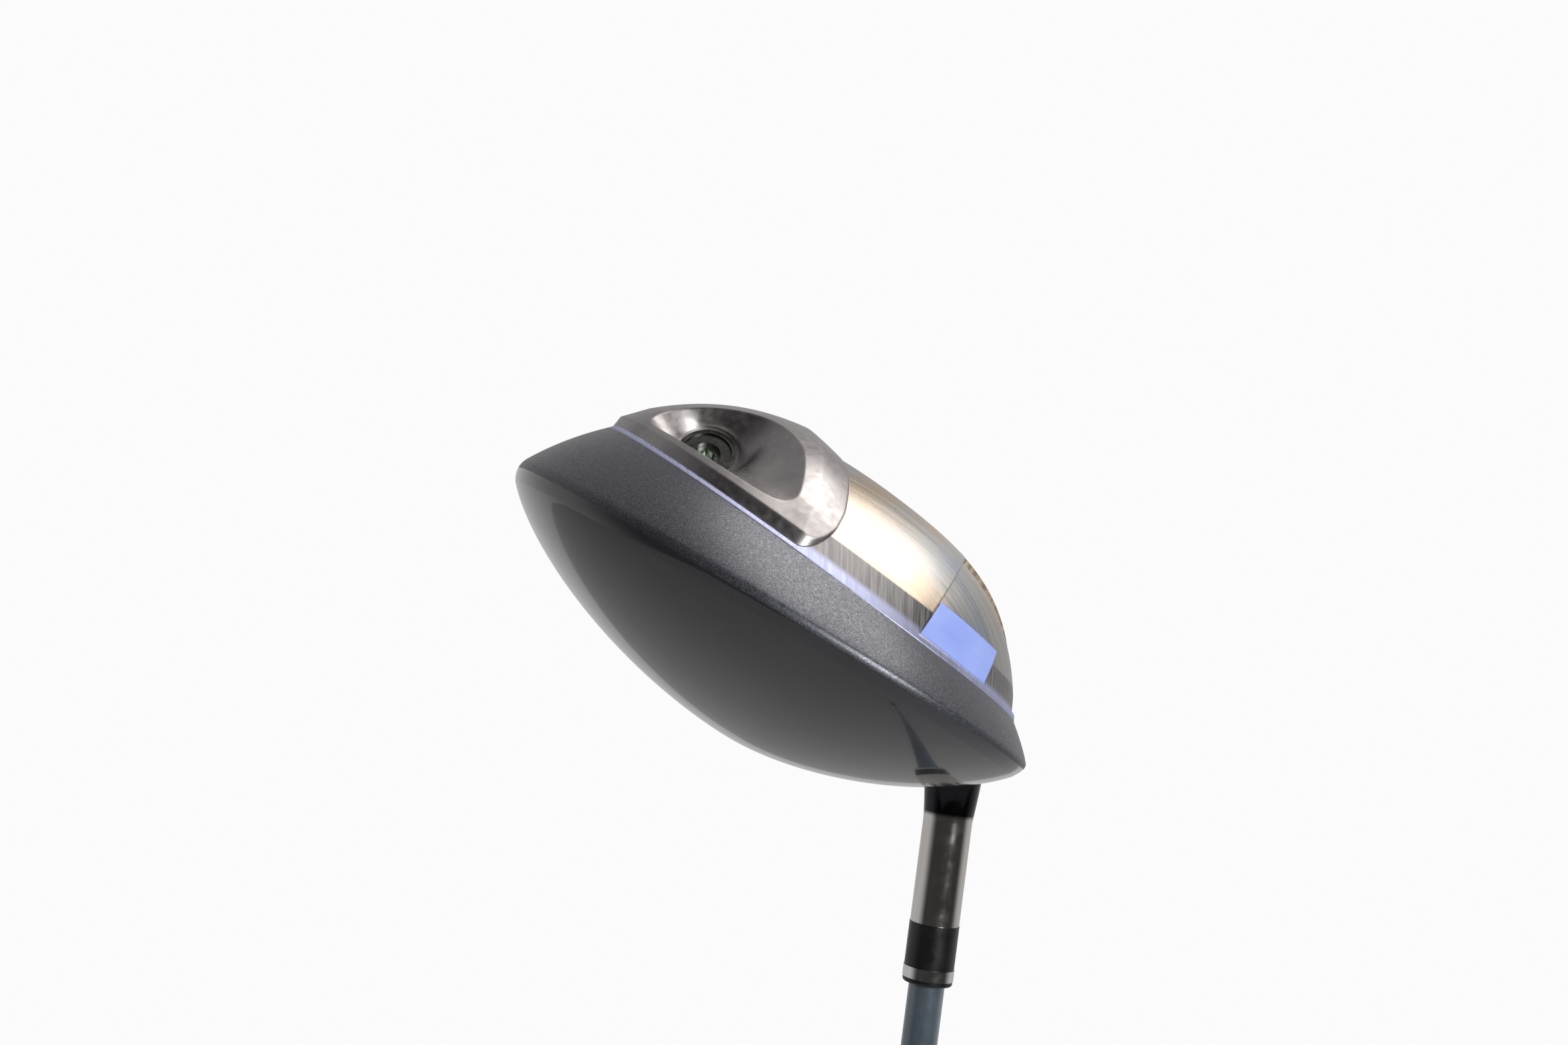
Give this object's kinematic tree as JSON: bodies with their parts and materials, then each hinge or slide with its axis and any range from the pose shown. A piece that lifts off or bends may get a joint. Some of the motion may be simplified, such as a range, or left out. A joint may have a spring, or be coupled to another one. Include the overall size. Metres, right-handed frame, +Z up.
{
  "type": "golf driver",
  "caption": "Right-handed golf driver: hollow metal head with a screwed-in rear weight, hosel, ferrule, tapered shaft and rubber grip.",
  "frame": {"origin": "middle of the grip's butt end, on the shaft's axis", "axes": "+Z up the shaft to the head, +Y to the rear of the head, +X mostly towards its toe"},
  "size_m": [0.1268, 0.1064, 1.1765],
  "materials": {
    "crown_paint": "gloss",
    "skirt_paint": "metal flake gloss",
    "sole_titanium": "brushed",
    "face_titanium": "satin",
    "hosel_metal": "polished",
    "port_metal": "bead blasted",
    "weight_metal": "satin",
    "screw_metal": "satin",
    "badge_enamel": "satin",
    "ferrule_plastic": "gloss",
    "trim_metal": "polished",
    "shaft_paint": "gloss",
    "grip_rubber": "matte",
    "tape": "matte",
    "epoxy": "matte",
    "resin": "matte",
    "plug_foam": "matte"
  },
  "bodies": {
    "club": {"crown_shell": "crown_paint", "body_skirt": "skirt_paint", "sole_plate": "sole_titanium", "face_plate": "face_titanium", "hosel_neck": "hosel_metal", "weight_port_housing": "port_metal", "weight_port_cup": "weight_metal", "port_thread_insert": "weight_metal", "heel_badge": "badge_enamel", "damping_resin": "resin", "ferrule": "ferrule_plastic", "ferrule_ring": "trim_metal", "shaft": "shaft_paint", "shaft_bond": "epoxy", "tip_plug": "plug_foam", "grip_tape": "tape", "grip": "grip_rubber"},
    "weight_cartridge": {"weight_body": "weight_metal", "weight_retaining_ring": "weight_metal"},
    "weight_bolt": {"weight_screw": "screw_metal"}
  },
  "joints": [
    {"name": "weight_travel", "type": "slide", "parent": "club", "child": "weight_cartridge", "axis": [0.1079, 0.828, 0.5503], "range_m": [0, 0.0072]},
    {"name": "screw_turn", "type": "hinge", "parent": "weight_cartridge", "child": "weight_bolt", "pos_m": [0.07272, 0.0483, 1.16385], "axis": [0.1079, 0.828, 0.5503], "range_deg": [0, 3240]}
  ],
  "couplings": [
    {"joint": "screw_turn", "follows": "weight_travel", "rad_per_m": 7853.9}
  ]
}
